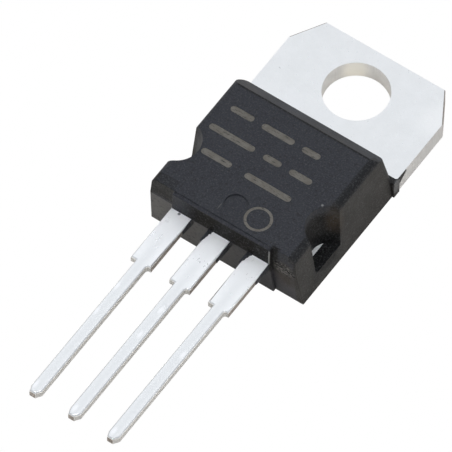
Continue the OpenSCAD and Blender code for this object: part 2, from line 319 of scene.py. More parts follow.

# %% [markdown]
# Each lead is painted greyer along its middle, painted shade that leaves two lighter borders where
# its rounded edges catch the light. The three leads stand at one pitch, and a distance that folds
# back at every half pitch is therefore the distance to the nearest lead's middle line.

# %% Lead middle group
lead_middle, where, given, result = start_group(
    "lead_middle", [("Pitch mm", "Float", 2.54), ("Half mm", "Float", 0.4)], [("Mask", "Float")])
across = add(lead_middle, "SeparateXYZ", (-3, 2), None, where).outputs[0]
x_mm = calculate(lead_middle, (-2, 2), "MULTIPLY", across, 1 / MM)
half_pitch = calculate(lead_middle, (-2, 0), "MULTIPLY", given["Pitch mm"], 0.5)
folded = calculate(lead_middle, (-1, 1), "PINGPONG", x_mm, half_pitch)
fill(lead_middle, result, spread(lead_middle, folded, (1, 1), 0.0, given["Half mm"], 1.0, 0.0, soft=True))
print("groups:", [g.name for g in bpy.data.node_groups])

# %% [markdown]
# Every material starts the same way: a Principled shader and its output. Many places have one plain
# colour of their own, and the last helper lays such a colour over the colours so far.

# %% Material helpers


def start_material(name, **values):
    """A new material and its shader, with the values that are the same all over."""
    made = bpy.data.materials.new(name)
    made.use_nodes = True
    shader = made.node_tree.nodes["Principled BSDF"]
    shader.location.x, made.node_tree.nodes["Material Output"].location.x = 1800, 2200
    return made, made.node_tree, fill(made.node_tree, shader, **values)


def places(tree, group, place, middles, size, edge):
    """The mask of spots or soft boxes that share their size and their softness or fade."""
    masks = [place_group(tree, group, (place[0], place[1] + i), middle, size, edge).outputs["Mask"]
             for i, middle in enumerate(middles)]
    mask = masks[0]
    for other in masks[1:]:
        mask = calculate(tree, (place[0] + 1, place[1]), "MAXIMUM", mask, other)
    return mask


def patch(tree, under, colour, group, place, middles, size, edge):
    """Lays one colour over another at such places."""
    mask = places(tree, group, place, middles, size, edge)
    return mix_colours(tree, mask, under, colour, (place[0] + 2, place[1]))


# %% [markdown]
# The housing is black epoxy full of fine mineral powder. It looks slate grey because its matte
# skin scatters the white studio, and up close it is speckled where grains of the powder reach the
# surface. Two sizes of grain give the speckle, and blotches change how much each place shines.
#
# The rows lay colours over the film, and most of them are painted light and shade. The sides are
# painted a little browner than the front, as painted warm light from the floor, and the right rolled
# edge is painted dark, as painted shade. On the lead end the lower left is painted paler, as painted
# light from the floor, and the upper half is painted dark over the leads and at the left, as painted
# shade, with a painted dark groove beside the block. The left notch is painted lighter, as painted
# light; the right notch is painted dark, its wall brown as painted warm light and its bottom black
# as painted shade. The right ear's side is painted light grey, as painted light. The chipped corner
# is crumbly, with light grains of powder laid bare.

# %% Moulded epoxy
# Each row: group, colour, the share of the shine that is lost, size, softness or fade, middles.
EPOXY_TONES_AND_PAINTED_LIGHT = (
    # both sides, browner as painted warm light; the right rolled edge, painted shade; the dark line between slope
    # and front
    (soft_box, (0.0082, 0.0070, 0.0056, 1), 0.16, (0.90, 6.0, 2.1), (0.15, 0.5, 0.3),
     (5.6, -8.0, 1.9), (-5.6, -8.0, 1.9)),
    (soft_box, (0.0075, 0.0080, 0.0095, 1), 0.22, (0.17, 4.6, 0.30), (0.12, 0.2, 0.15), (4.50, -8.2, 4.4)),
    (soft_box, (0.0060, 0.0060, 0.0070, 1), 0.30, (4.3, 0.03, 0.05), (0.2, 0.08, 0.05), (0.0, -5.03, 4.5)),
    # lead end: painted floor light lower left, painted shade over the leads and upper left, brown right, painted
    # shade in the groove
    (soft_box, (0.094, 0.093, 0.091, 1), 0, (2.0, 0.6, 1.6), (8.5, 0.1, 0.06), (-6.0, -12.5, 1.5)),
    (soft_box, (0.0060, 0.0052, 0.0040, 1), 0.60, (2.4, 0.15, 0.55), (1.6, 0.1, 0.08), (1.0, -12.98, 3.8)),
    (soft_box, (0.0070, 0.0072, 0.0070, 1), 0.22, (1.5, 0.4, 0.55), (0.2, 0.2, 0.1), (-4.9, -12.6, 3.9)),
    (spot, (0.018, 0.0095, 0.0060, 1), 0, (1.1, 0.5, 1.7), 0.9, (4.0, -12.7, 2.1)),
    (soft_box, (0.0050, 0.0042, 0.0030, 1), 0.5, (0.10, 0.2, 1.0), (0.24, 0.1, 0.4), (3.38, -12.8, 3.5)),
    # notches: painted light on the left; on the right painted shade, a brown wall as painted warm light and a
    # painted black bottom; painted light on the ear
    (spot, (0.086, 0.088, 0.091, 1), 0, (1.2, 1.5, 2.0), 0.4, (-4.6, -9.86, 3.0)),
    (spot, (0.0070, 0.0068, 0.0066, 1), 0.55, (1.35, 1.55, 2.3), 0.2, (4.6, -9.86, 2.6)),
    (spot, (0.042, 0.030, 0.020, 1), 0, (1.0, 0.65, 1.7), 0.9, (4.40, -8.60, 3.2)),
    (soft_box, (0.0020, 0.0022, 0.0026, 1), 0, (1.0, 1.35, 0.50), (0.1, 0.1, 0.60), (4.7, -9.86, 1.3)),
    (spot, (0.140, 0.140, 0.138, 1), 0, (0.16, 0.40, 0.75), 0.5, (5.145, -3.6, 0.85)),
)
epoxy, tree, shader = start_material("moulded_epoxy")
skin = place_group(tree, grain, (0, 0), 0.19, 0.014).outputs
powder = place_group(tree, grain, (0, 2), 0.10, 0.002).outputs
crumbs = place_group(tree, grain, (0, 3), 0.15, 0.030).outputs
film = place_group(tree, blotch, (0, 4), 1.8, 0.2, (0.0155, 0.0170, 0.0245, 1), (0.0245, 0.0260, 0.0335, 1)).outputs
base, matt = film["Colour"], None
for row, (group, colour, share, size, edge, *middles) in enumerate(EPOXY_TONES_AND_PAINTED_LIGHT):
    mask = places(tree, group, (row, 6 + 2 * row), middles, size, edge)
    base = mix_colours(tree, mask, base, colour, (row + 2, 6 + 2 * row))
    if share:
        lost = calculate(tree, (row, 34), "MULTIPLY", mask, share)
        matt = calculate(tree, (row, 35), "MAXIMUM", matt, lost) if matt else lost
shine = spread(tree, matt, (14, 34), 0.0, 1.0, 0.375, 0.0)

# %% [markdown]
# Over these colours come the grains: powder in the skin, crumbs at the chipped corner, and dark
# pits. Four specks, a painted highlight on the block's edge by the groove and the scratch in the
# round mark come last.

# %% Specks, pits and scratch
specks = spread(tree, powder["Grain"], (2, 2), 0.50, 0.70)
speckled = mix_colours(tree, specks, base, (0.074, 0.074, 0.077, 1), (14, 2))
broken = places(tree, spot, (12, 28), [(3.98, -12.76, 3.05)], (0.85, 0.30, 0.85), 0.5)
crumb_light = spread(tree, crumbs["Grain"], (2, 3), 0.45, 0.60)
crumb_colour = mix_colours(tree, crumb_light, (0.0040, 0.0036, 0.0034, 1), (0.155, 0.145, 0.135, 1), (14, 4))
crumbly = mix_colours(tree, broken, speckled, crumb_colour, (15, 2))
pits = spread(tree, skin["Grain"], (2, 0), 0.48, 0.30)
base = mix_colours(tree, pits, crumbly, (0.006, 0.006, 0.007, 1), (16, 2))
SPECKS = ((3.64, -12.80, 4.30), (4.13, -12.80, 4.49), (4.53, -12.80, 4.15), (3.88, -8.93, 4.50))
base = patch(tree, base, (0.200, 0.200, 0.195, 1), spot, (15, 6), SPECKS, (0.10, 0.10, 0.09), 0.7)
# painted highlight: a light line on the right edge of the lead block
base = patch(tree, base, (0.22, 0.22, 0.21, 1), soft_box, (16, 8), [(3.16, -12.97, 3.76)],
             (0.025, 0.04, 0.50), (0.035, 0.04, 0.14))
base = patch(tree, base, (0.110, 0.108, 0.104, 1), spot, (17, 10), [(-0.655, -12.12, 4.45)],
             (0.05, 0.40, 0.12), 0.9)
gloss = spread(tree, film["Mask"], (4, 4), 0.0, 1.0, 0.50, 0.60)
fill(tree, shader, Base_Color=base, Roughness=gloss, Specular_IOR_Level=shine, Normal=skin["Normal"])

# %% [markdown]
# The marking is burnt in by a laser, which turns the skin into a dull, warm grey crust a few
# hundredths of a millimetre deep. The beam goes back and forth, and the crust keeps its lines. This
# is the first of the simpler finishes, which are all one grain over two slow colours.

# %% Laser marking


def simple_finish(name, fine, cloud, colours, rough, gaps=None, warm=None, **values):
    """Gaps are where the grain begins and ends to show another colour, and warm is one soft warmer patch."""
    made, tree, shader = start_material(name, **values)
    lines = place_group(tree, grain, (0, 0), *fine).outputs
    colour = place_group(tree, blotch, (0, 3), *cloud, *colours).outputs["Colour"]
    if gaps:
        start, end, other = gaps
        colour = mix_colours(tree, spread(tree, lines["Grain"], (2, 0), start, end), colour, other, (4, 2))
    if warm:
        colour = patch(tree, colour, warm, spot, (5, 4), [(-1.15, 1.52, 0.6)], (1.05, 1.05, 1.5), 0.7)
    roughness = spread(tree, lines["Grain"], (2, 1), 0.35, 0.65, *rough)
    fill(tree, shader, Base_Color=colour, Roughness=roughness, Normal=lines["Normal"])
    return made


laser = simple_finish("laser_marking", (0.10, 0.006, (0.25, 1.0, 1.0)), (0.5, 0.3),
                      ((0.145, 0.133, 0.112, 1), (0.190, 0.178, 0.155, 1)), (0.70, 0.85),
                      (0.48, 0.32, (0.026, 0.026, 0.028, 1)), Specular_IOR_Level=0.25)

# %% [markdown]
# The copper of the tab is plated with tin, which is satin and nearly white. Rolled sheet keeps
# faint lines along its length, so its grain is stretched. The plating is a little uneven and has a
# few dark pinholes. One corner is painted brighter, as a painted highlight. At the bottom of the
# notches the tin is painted white and made nearly not metallic, as painted light from the lamp.

# %% Tin plating
tin, tree, shader = start_material("tin_plating")
rolled = place_group(tree, grain, (0, 0), 0.14, 0.0065, (1.0, 0.55, 1.0)).outputs
cloudy = place_group(tree, blotch, (0, 3), 0.9, 0.4, (0.842, 0.847, 0.842, 1), (0.868, 0.872, 0.868, 1)).outputs
holes = place_group(tree, grain, (0, 5), 0.45, 0.001).outputs
dull = spread(tree, rolled["Grain"], (2, 0), 0.35, 0.65, 0.26, 0.44)
darker = spread(tree, rolled["Grain"], (2, 1), 0.36, 0.24)
pinholes = spread(tree, holes["Grain"], (2, 5), 0.668, 0.700, 0.0, 0.45)
# painted highlight: a brighter patch at the tab's right corner
tinned = patch(tree, cloudy["Colour"], (0.92, 0.92, 0.91, 1), spot, (0, 7), [(4.7, 1.0, 1.27)], (1.5, 1.9, 1.0), 0.9)
tinned = mix_colours(tree, darker, tinned, (0.60, 0.61, 0.60, 1), (4, 2))
tinned = mix_colours(tree, pinholes, tinned, (0.40, 0.40, 0.40, 1), (5, 2))
# painted light: the notch floors are painted white and made nearly not metallic
notch_floor_light = places(tree, spot, (3, 9), [(side * 4.3, -9.86, 1.27) for side in (-1, 1)], (0.9, 1.5, 0.4), 0.2)
tinned = mix_colours(tree, notch_floor_light, tinned, (1.0, 1.0, 1.0, 1), (6, 2))
metal = spread(tree, notch_floor_light, (5, 9), 0.0, 1.0, 1.0, 0.15)
fill(tree, shader, Base_Color=tinned, Roughness=dull, Metallic=metal, Normal=rolled["Normal"])

# %% [markdown]
# The leads are dipped in molten tin once more so that they solder well. That coat is thicker,
# smoother and whiter. Next to the body it is painted white and made nearly not metallic, as painted
# light where the body would shade it. The upright sides are painted grey, as painted shade. Glossy
# spots along the leads and at their tips are painted white, as painted highlights, and a small dark
# spot is painted where the left lead leaves the body.

# %% Dipped tin
BEAD_HIGHLIGHTS = ((-2.75, -18.76, 3.16), (-2.75, -20.68, 3.16), (0.08, -18.70, 3.16), (0.05, -20.60, 3.16),
         (2.68, -20.35, 3.16), (-2.72, -26.35, 3.16), (-0.12, -26.40, 3.16), (2.42, -26.40, 3.16))
dipped, tree, shader = start_material("dipped_tin")
ripples = place_group(tree, grain, (0, 0), 0.35, 0.0008, (1.0, 0.6, 1.0)).outputs
cloudy = place_group(tree, blotch, (0, 3), 0.8, 0.3, (0.935, 0.940, 0.938, 1), (0.970, 0.975, 0.972, 1)).outputs
# painted shade: each lead is greyer along its middle, which leaves lighter borders
middle = place_group(tree, lead_middle, (0, 5), 2.54, 0.50).outputs[0]
painted_middle_shade = calculate(tree, (2, 5), "MULTIPLY", middle, 0.8)
coat = mix_colours(tree, painted_middle_shade, cloudy["Colour"], (0.845, 0.855, 0.855, 1), (3, 3))
# painted shade: the upright sides of the leads are painted grey
coat = patch(tree, coat, (0.56, 0.562, 0.56, 1), soft_box, (0, 6), [(0.0, -20.0, 2.83)],
             (5.0, 7.1, 0.18), (1.0, 0.2, 0.08))
# painted highlights: glossy white spots along the leads and at their tips
bead_highlight = places(tree, spot, (3, 7), BEAD_HIGHLIGHTS, (0.16, 0.42, 0.3), 0.8)
coat = mix_colours(tree, bead_highlight, coat, (1.0, 1.0, 1.0, 1), (5, 7))
# painted light: next to the body the coat is painted white and made nearly not metallic
root = places(tree, soft_box, (0, 16), [(0.0, -13.0, 3.2)], (5.0, 0.7, 0.10), (1.0, 2.2, 0.05))
coat = mix_colours(tree, root, coat, (1.0, 1.0, 1.0, 1), (6, 3))
coat = patch(tree, coat, (0.16, 0.16, 0.17, 1), spot, (0, 17), [(-2.66, -13.07, 3.16)], (0.11, 0.11, 0.2), 0.5)
dull = spread(tree, ripples["Grain"], (2, 0), 0.35, 0.65, 0.26, 0.36)
satin = calculate(tree, (5, 0), "SUBTRACT", dull, calculate(tree, (3, 6), "MULTIPLY", bead_highlight, 0.2))
metal = spread(tree, root, (5, 12), 0.0, 1.0, 1.0, 0.05)
fill(tree, shader, Base_Color=coat, Roughness=satin, Metallic=metal, Normal=ripples["Normal"])

# %% [markdown]
# Where a punch went through the sheet the wall is faintly streaked from top to bottom. The tab's
# outer walls are painted dark, as painted shade, and the walls of its hole lighter than those, as
# painted light. In the hole, on the side away from the leads, a warmer patch is painted. The bars
# that tied the leads together are cut away last of all, after plating. Those faces and the tips are
# bare: torn, brownish and dull.

# %% Punched walls and bare cut
STREAKS = (0.12, 0.002, (1.0, 1.0, 0.12))
# painted shade: the tab's outer walls are painted darker
shaded_outer_wall = simple_finish("punched_edge_shaded", STREAKS, (0.9, 0.6), ((0.65, 0.65, 0.65, 1), (0.71, 0.71, 0.71, 1)),
                           (0.36, 0.48), (0.45, 0.75, (0.58, 0.57, 0.56, 1)), Metallic=0.6)
# painted light: the walls of the hole are painted lighter
lit_hole_wall = simple_finish("punched_hole_lit", STREAKS, (0.9, 0.6), ((0.74, 0.74, 0.735, 1), (0.80, 0.80, 0.795, 1)),
                          (0.36, 0.48), (0.45, 0.75, (0.70, 0.69, 0.68, 1)), (1.0, 0.985, 0.92, 1), Metallic=0.6)
bare_cut = simple_finish("bare_cut", (0.10, 0.010, (1.0, 1.0, 0.5)), (0.35, 0.4),
                         ((0.300, 0.262, 0.235, 1), (0.450, 0.410, 0.380, 1)), (0.45, 0.65),
                         (0.45, 0.30, (0.05, 0.04, 0.035, 1)), Metallic=0.85)

# %% [markdown]
# The chip, its solder and its wires lie inside the plastic. Nobody sees them, but someone may take
# the housing off, so each has the finish of the real thing: grey ground silicon, frosty solder and
# drawn aluminium wire.

# %% Chip, solder and wire
silicon = simple_finish("ground_silicon", (0.05, 0.001), (0.6, 0.5), ((0.16, 0.17, 0.21, 1), (0.22, 0.23, 0.27, 1)),
                        (0.22, 0.34), Metallic=0.6)
solder = simple_finish("frosty_solder", (0.07, 0.005), (0.4, 0.3), ((0.48, 0.48, 0.49, 1), (0.60, 0.60, 0.61, 1)),
                       (0.35, 0.60), Metallic=1.0)
wire_metal = simple_finish("drawn_aluminium", (0.03, 0.001), (0.3, 0.3),
                           ((0.78, 0.78, 0.77, 1), (0.88, 0.88, 0.87, 1)), (0.25, 0.38), Metallic=1.0)
for name, paint in (("silicon_die", silicon), ("die_solder", solder), ("left_bond_wire", wire_metal),
                    ("right_bond_wire", wire_metal), ("ground_bond_wire", wire_metal)):
    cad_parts[name].material_slots[0].material = paint
print("materials:", [m.name for m in bpy.data.materials])

# %% [markdown]
# A solid from the construction model has perfectly sharp edges, and no real edge is. A copy of its
# mesh is welded, its flat faces are made whole again, and then chosen edges are rounded by a small
# bevel. Weighted normals keep the flat faces flat in the light, and only the bevels turn.

# %% Copying and rounding
SHARP = math.radians(28)
WELD = 0.0004 * MM


def copy_solid(node_name):
    """A mesh to work on, from a solid's own mesh, with whole flat faces."""
    mesh = bmesh.new()
    mesh.from_mesh(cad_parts[node_name].data)
    bmesh.ops.remove_doubles(mesh, verts=mesh.verts, dist=WELD)
    bmesh.ops.dissolve_limit(mesh, angle_limit=math.radians(0.4), verts=mesh.verts, edges=mesh.edges)
    mesh.normal_update()
    return mesh


def is_corner(edge):
    """True for an edge where two faces meet at a real angle."""
    return len(edge.link_faces) == 2 and edge.calc_face_angle(0) > SHARP


def middle_of(edge):
    return (edge.verts[0].co + edge.verts[1].co) / 2 / MM


def round_edges(mesh, radius, chosen, steps=2, finish=-1, clamp=True):
    """Rounds the sharp edges that chosen accepts, in one finish."""
    edges = [e for e in mesh.edges if is_corner(e) and chosen(e)]
    bmesh.ops.bevel(mesh, geom=edges, offset=radius * MM, offset_type="OFFSET", segments=steps,
                    profile=0.5, affect="EDGES", clamp_overlap=clamp, material=finish)
    mesh.normal_update()
    return len(edges)


def finish_piece(mesh, name, node_name, paints):
    """Turns the worked mesh into the piece that stands for a solid."""
    for face in mesh.faces:
        face.smooth = True
    for edge in mesh.edges:
        edge.smooth = not is_corner(edge)
    data = bpy.data.meshes.new(name)
    mesh.to_mesh(data)
    mesh.free()
    for paint in paints:
        data.materials.append(paint)
    piece = bpy.data.objects.new(name, data)
    scene.collection.objects.link(piece)
    even = piece.modifiers.new("even_light", "WEIGHTED_NORMAL")
    even.keep_sharp = True
    even.weight = 100
    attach(piece, "root")
    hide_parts(node_name)
    print(f"{name}: {len(data.polygons)} faces")


# %% [markdown]
# The housing is pressed in a two-part mould, so every wall leans a few degrees to let it go. The
# solid has these forms too, but its mesh is too coarse at the rims to round them well. So the
# housing is made again here: planes cut the bar, the lead block and the ears, a rolling ball rounds
# their edges, they are joined, and the notches are bored out.

# %% Sizes of the housing, in millimetres
FRONT_Z = 4.5
TAB_T = 1.27
FOOT_X = 5.025
PLASTIC_Y = -3.57
SHOULDER_Y = -3.50
CORNER_END_Y = -12.77
LEAD_END_Y = -12.98
LEAD_TOP_Z = 3.16
LEAD_LOW_Z = 2.64
SIDE_LEAN, TAB_END_LEAN, LOW_LEAN, HIGH_LEAN = (math.radians(a) for a in (4.2, 12.1, 7.2, 2.5))
SLOPE_RUN, SLOPE_DROP = 0.94, 0.95
FRONT_EDGE_R = 0.42
BLOCK_X, BLOCK_TOP_Z = 3.21, 4.44
NOTCH_X, NOTCH_Y, NOTCH_FRONT_R, NOTCH_FLOOR_R = 5.065, -9.86, 1.41, 1.17
CLEAR = 0.002
MARK_Y, MARK_R, MARK_DEPTH = -11.53, 0.65, 0.08
EAR_INNER_X, EAR_OUTER_X, EAR_LOW_Y, EAR_HIGH_Y = 4.13, 5.145, -3.86, -3.33

# %% [markdown]
# A plane is a unit normal and a distance. A convex solid is cut out of a cube by its planes. To
# round it, its planes move in by the radius, and a ball is rolled over what is left: each face
# moves out again, each edge becomes a strip, and each corner a small fan. So it is always closed.

# %% Planes and rounded solids
THREE_STEPS_FROM = 0.3


def plane(point, outward):
    """A plane as its unit normal and its distance from the origin, in millimetres."""
    normal = Vector(outward).normalized()
    return normal, normal.dot(Vector(point))


def between(one, two, share):
    """The direction a share of the way from one to two, at an even turn."""
    angle = one.angle(two)
    if angle < 1e-5:
        return one.copy()
    return (one * math.sin((1 - share) * angle) + two * math.sin(share * angle)) / math.sin(angle)


def rolled(one, two, radius, steps):
    """The planes that turn from one plane to the other around a cylinder that touches both."""
    rows = Matrix((one[0], two[0], one[0].cross(two[0])))
    axis = rows.inverted() @ Vector((one[1] - radius, two[1] - radius, 0))
    normals = [between(one[0], two[0], i / steps) for i in range(1, steps)]
    return [(normal, normal.dot(axis) + radius) for normal in normals]


def cut_off(mesh, normal, distance):
    """Cuts a convex mesh at a plane and closes it. What lies outside the plane goes."""
    everything = mesh.verts[:] + mesh.edges[:] + mesh.faces[:]
    cut = bmesh.ops.bisect_plane(mesh, geom=everything, plane_co=normal * distance * MM, plane_no=normal,
                                 clear_outer=True, dist=1e-9)
    bmesh.ops.contextual_create(mesh, geom=[e for e in cut["geom_cut"] if isinstance(e, bmesh.types.BMEdge)])
    bmesh.ops.recalc_face_normals(mesh, faces=mesh.faces)


def rounded_solid(planes, radius):
    """The solid between the planes, its edges rounded. The planes move in, and a ball rolls outside."""
    core = bmesh.new()
    bmesh.ops.create_cube(core, size=60 * MM)
    for normal, distance in planes:
        cut_off(core, normal, distance - radius)
    core.normal_update()
    made, points = bmesh.new(), {}

    def point(vertex, one, two, share):
        """The point of the rounding at a corner of the core, between two of its faces."""
        if one.index > two.index:
            one, two, share = two, one, 1 - share
        key = (vertex.index, one.index) if share == 0 else (vertex.index, two.index) if share == 1 else (
            vertex.index, one.index, two.index, round(share, 4))
        if key not in points:
            points[key] = made.verts.new(vertex.co + between(one.normal, two.normal, share) * radius * MM)
        return points[key]

    def steps_of(one, two):
        return 1 if one.normal.angle(two.normal) < THREE_STEPS_FROM else 3

    for face in core.faces:
        made.faces.new([point(v, face, face, 0) for v in face.verts])
    for edge in core.edges:
        one, two = edge.link_faces
        steps = steps_of(one, two)
        for i in range(steps):
            made.faces.new([point(edge.verts[a], one, two, (i + b) / steps)
                            for a, b in ((0, 0), (1, 0), (1, 1), (0, 1))])
    for vertex in core.verts:
        ring, loop = [], vertex.link_loops[0]
        for _ in vertex.link_faces:
            after = loop.link_loop_prev.link_loop_radial_next
            steps = steps_of(loop.face, after.face)
            ring += [point(vertex, loop.face, after.face, i / steps) for i in range(steps)]
            loop = after
        outward = sum((f.normal for f in vertex.link_faces), Vector()).normalized()
        top = made.verts.new(vertex.co + outward * radius * MM)
        for i, here in enumerate(ring):
            made.faces.new((here, ring[(i + 1) % len(ring)], top))
    core.free()
    bmesh.ops.recalc_face_normals(made, faces=made.faces)
    return made


# %% [markdown]
# Solids are joined and cut with exact booleans, one at a time. Each tool is dropped after its cut.

# %% Joining helpers


def open_edges(mesh):
    return sum(1 for e in mesh.edges if len(e.link_faces) != 2)


def as_object(mesh, name):
    """A loose object that holds the mesh for the next cut."""
    bmesh.ops.triangulate(mesh, faces=mesh.faces)
    data = bpy.data.meshes.new(name)
    mesh.to_mesh(data)
    mesh.free()
    made = bpy.data.objects.new(name, data)
    scene.collection.objects.link(made)
    return made


def combine(base, tool, operation):
    """Joins the tool, a mesh or an object, to the base or takes it away, and drops the tool."""
    if isinstance(tool, bmesh.types.BMesh):
        tool = as_object(tool, "tool")
    step = base.modifiers.new("step", "BOOLEAN")
    step.operation = operation
    step.object = tool
    step.solver = "EXACT"
    bpy.context.view_layer.update()
    result = bpy.data.meshes.new_from_object(base.evaluated_get(bpy.context.evaluated_depsgraph_get()))
    base.modifiers.clear()
    base.data = result
    bpy.data.objects.remove(tool)


# %% [markdown]
# The front face meets the leaning sides in a large rolled edge, and the two tab-end corners are
# rolled too. Below the bottom the solid goes on for a millimetre, so that the rounding there falls
# away when it is cut flat. The block that the leads come out of stands a fifth of a millimetre
# proud, and the ears fill the shoulders of the tab, level with its front.

# %% Bar, block and ears
EDGE_R = 0.045
TAB_CORNER_R = 0.5
front = plane((0, 0, FRONT_Z), (0, 0, 1))
below = plane((0, 0, -1), (0, 0, -1))
sides = {s: plane((s * FOOT_X, 0, 0), (s * math.cos(SIDE_LEAN), 0, math.sin(SIDE_LEAN))) for s in (-1, 1)}
tab_end = plane((0, PLASTIC_Y, TAB_T), (0, math.cos(TAB_END_LEAN), math.sin(TAB_END_LEAN)))
shoulder = plane((0, SHOULDER_Y, 0), (0, 1, 0))
slope_z = FRONT_Z - SLOPE_DROP
slope = plane((0, PLASTIC_Y - (slope_z - TAB_T) * math.tan(TAB_END_LEAN), slope_z), (0, SLOPE_DROP, SLOPE_RUN))


def lead_end(end_y):
    """The two leans of the lead end, which meet at the front of the leads."""
    return [plane((0, end_y, LEAD_TOP_Z), (0, -math.cos(HIGH_LEAN), math.sin(HIGH_LEAN))),
            plane((0, end_y, LEAD_TOP_Z), (0, -math.cos(LOW_LEAN), -math.sin(LOW_LEAN)))]


def cut_flat(mesh):
    cut_off(mesh, Vector((0, 0, -1)), 0)
    return mesh


planes = [front, below, tab_end, shoulder, slope, *sides.values(), *lead_end(CORNER_END_Y)]
for s in (-1, 1):
    planes += rolled(sides[s], front, FRONT_EDGE_R, 12)
    planes += rolled(sides[s], tab_end, TAB_CORNER_R, 8)
housing = as_object(cut_flat(rounded_solid(planes, EDGE_R)), "housing")
block = rounded_solid([plane((0, 0, BLOCK_TOP_Z), (0, 0, 1)), below, plane((0, -10.9, 0), (0, 1, 0)),
                       plane((-BLOCK_X, 0, 0), (-1, 0, 0)), plane((BLOCK_X, 0, 0), (1, 0, 0)),
                       *lead_end(LEAD_END_Y)], 0.035)
combine(housing, cut_flat(block), "UNION")
for s in (-1, 1):
    ear = rounded_solid([plane((0, 0, TAB_T - CLEAR), (0, 0, 1)), below, plane((0, EAR_HIGH_Y, 0), (0, 1, 0)),
                         plane((0, EAR_LOW_Y, 0), (0, -1, 0)), plane((s * EAR_INNER_X, 0, 0), (-s, 0, 0)),
                         plane((s * EAR_OUTER_X, 0, 0), (s, 0, 0))], 0.02)
    combine(housing, cut_flat(ear), "UNION")
print("faces with block and ears:", len(housing.data.polygons))

# %% [markdown]
# Each notch is a steep cone with its point down, bored until it meets the copper pad. The ejector
# pin leaves a shallow round well. Their rims stay sharp for now: a rounded rim has slivers that the
# later cuts could trip over.

# %% Notches and ejector mark


def cone(centre, low_z, high_z, low_r, high_r, steps=96):
    """A closed cone along Z, in millimetres."""
    mesh = bmesh.new()
    bmesh.ops.create_cone(mesh, cap_ends=True, segments=steps, radius1=low_r * MM, radius2=high_r * MM,
                          depth=(high_z - low_z) * MM)
    mesh.transform(Matrix.Translation(Vector((centre[0], centre[1], (low_z + high_z) / 2)) * MM))
    return mesh


over = 0.5
spread_r = (NOTCH_FRONT_R - NOTCH_FLOOR_R) / (FRONT_Z - TAB_T) * over
for side in (-1, 1):
    tool = cone((side * NOTCH_X, NOTCH_Y), TAB_T - CLEAR, FRONT_Z + over,
                NOTCH_FLOOR_R, NOTCH_FRONT_R + spread_r)
    combine(housing, tool, "DIFFERENCE")
tool = cone((0, MARK_Y), FRONT_Z - MARK_DEPTH, FRONT_Z + over, MARK_R, MARK_R + 0.02, 64)
combine(housing, tool, "DIFFERENCE")


# %% [markdown]
# Thin liquid epoxy creeps out of the mould along the metal and sets there as flash: a ragged black
# skin on the sides of the leads, just outside the body, a thin one over the left edges of the
# middle and right leads, and one on the side of the tab. Each is a strip of rings along the metal,
# whose thickness and lower edge change a little at every ring.

# %% Flash
LEAD_PITCH, WIDE_LEFT, WIDE_RIGHT = 2.54, 0.71, 0.62
TAB_EDGE_X = 5.075
BITE = 0.03
ROOT_Y, SKIN_END_Y = LEAD_END_Y + 0.15, LEAD_END_Y - 0.85
draw = random.Random(11)


def ragged_strip(wall_x, start_y, end_y, profile, side=1, steps=18):
    """A strip on a wall that faces the side. profile gives its thickness, low z and high z at a share."""
    mesh = bmesh.new()
    rings = []
    for i in range(steps + 1):
        y = start_y + (end_y - start_y) * i / steps + draw.uniform(-0.012, 0.012)
        thick, low, high = profile(i / steps)
        thick *= draw.uniform(0.65, 1.2)
        low += draw.uniform(0.0, 0.07)
        high -= draw.uniform(0.0, 0.02)
        corners = ((-BITE, low), (thick * 0.7, low + 0.02), (thick, (low + high) / 2), (thick * 0.5, high),
                   (-BITE, high))
        rings.append([mesh.verts.new(((wall_x + side * out) * MM, y * MM, z * MM)) for out, z in corners])
    for one, two in zip(rings, rings[1:]):
        for i in range(len(one)):
            j = (i + 1) % len(one)
            mesh.faces.new((one[i], one[j], two[j], two[i]))
    mesh.faces.new(rings[0])
    mesh.faces.new(list(reversed(rings[-1])))
    bmesh.ops.recalc_face_normals(mesh, faces=mesh.faces)
    return mesh


LEAD_FLASH = ((-1, 1, 0.85, 0.13), (0, 1, 1.30, 0.13), (1, 1, 1.25, 0.13), (0, -1, 0.34, 0.26),
              (1, -1, 0.30, 0.24))
for number, side, reach, thick in LEAD_FLASH:
    wall_x = number * LEAD_PITCH + (WIDE_RIGHT if side > 0 else -WIDE_LEFT)
    strip = ragged_strip(wall_x, ROOT_Y, LEAD_END_Y - reach,
                         lambda share: (thick * (1 - 0.7 * share), LEAD_LOW_Z, LEAD_TOP_Z - 0.16 * share ** 3),
                         side, max(6, round(reach * 14)))
    combine(housing, strip, "UNION")
for number in (0, 1):
    strip = ragged_strip(number * LEAD_PITCH - WIDE_LEFT - 0.03, ROOT_Y, SKIN_END_Y,
                         lambda share: (0.34 - 0.30 * share, LEAD_TOP_Z - 0.06, LEAD_TOP_Z + 0.06), 1, 12)
    combine(housing, strip, "UNION")
strip = ragged_strip(TAB_EDGE_X, EAR_HIGH_Y - 0.1, EAR_HIGH_Y + 0.72,
                     lambda share: (0.055 - 0.03 * share, TAB_T - 0.75 + 0.50 * share, TAB_T - 0.02))
combine(housing, strip, "UNION")
print("faces with flash:", len(housing.data.polygons))

# %% [markdown]
# At the right corner of the lead end the mould's halves met badly and the brittle skin has chipped.
# The chips are lumps taken out along the parting line, each a small ball pushed out of shape, and a
# low ridge of torn skin is left under them.

# %% Chips and ridge


def lump(middle, radii, roughness=0.22):
    """A small ball with three radii, in millimetres, whose skin is pushed in and out at random."""
    mesh = bmesh.new()
    bmesh.ops.create_icosphere(mesh, subdivisions=2, radius=1)
    for vertex in mesh.verts:
        vertex.co *= 1 + draw.uniform(-roughness, roughness)
    tilt = Matrix.Rotation(draw.uniform(-0.5, 0.5), 4, "Y")
    mesh.transform(Matrix.Translation(Vector(middle) * MM) @ tilt @ Matrix.Diagonal((*(Vector(radii) * MM), 1)))
    return mesh


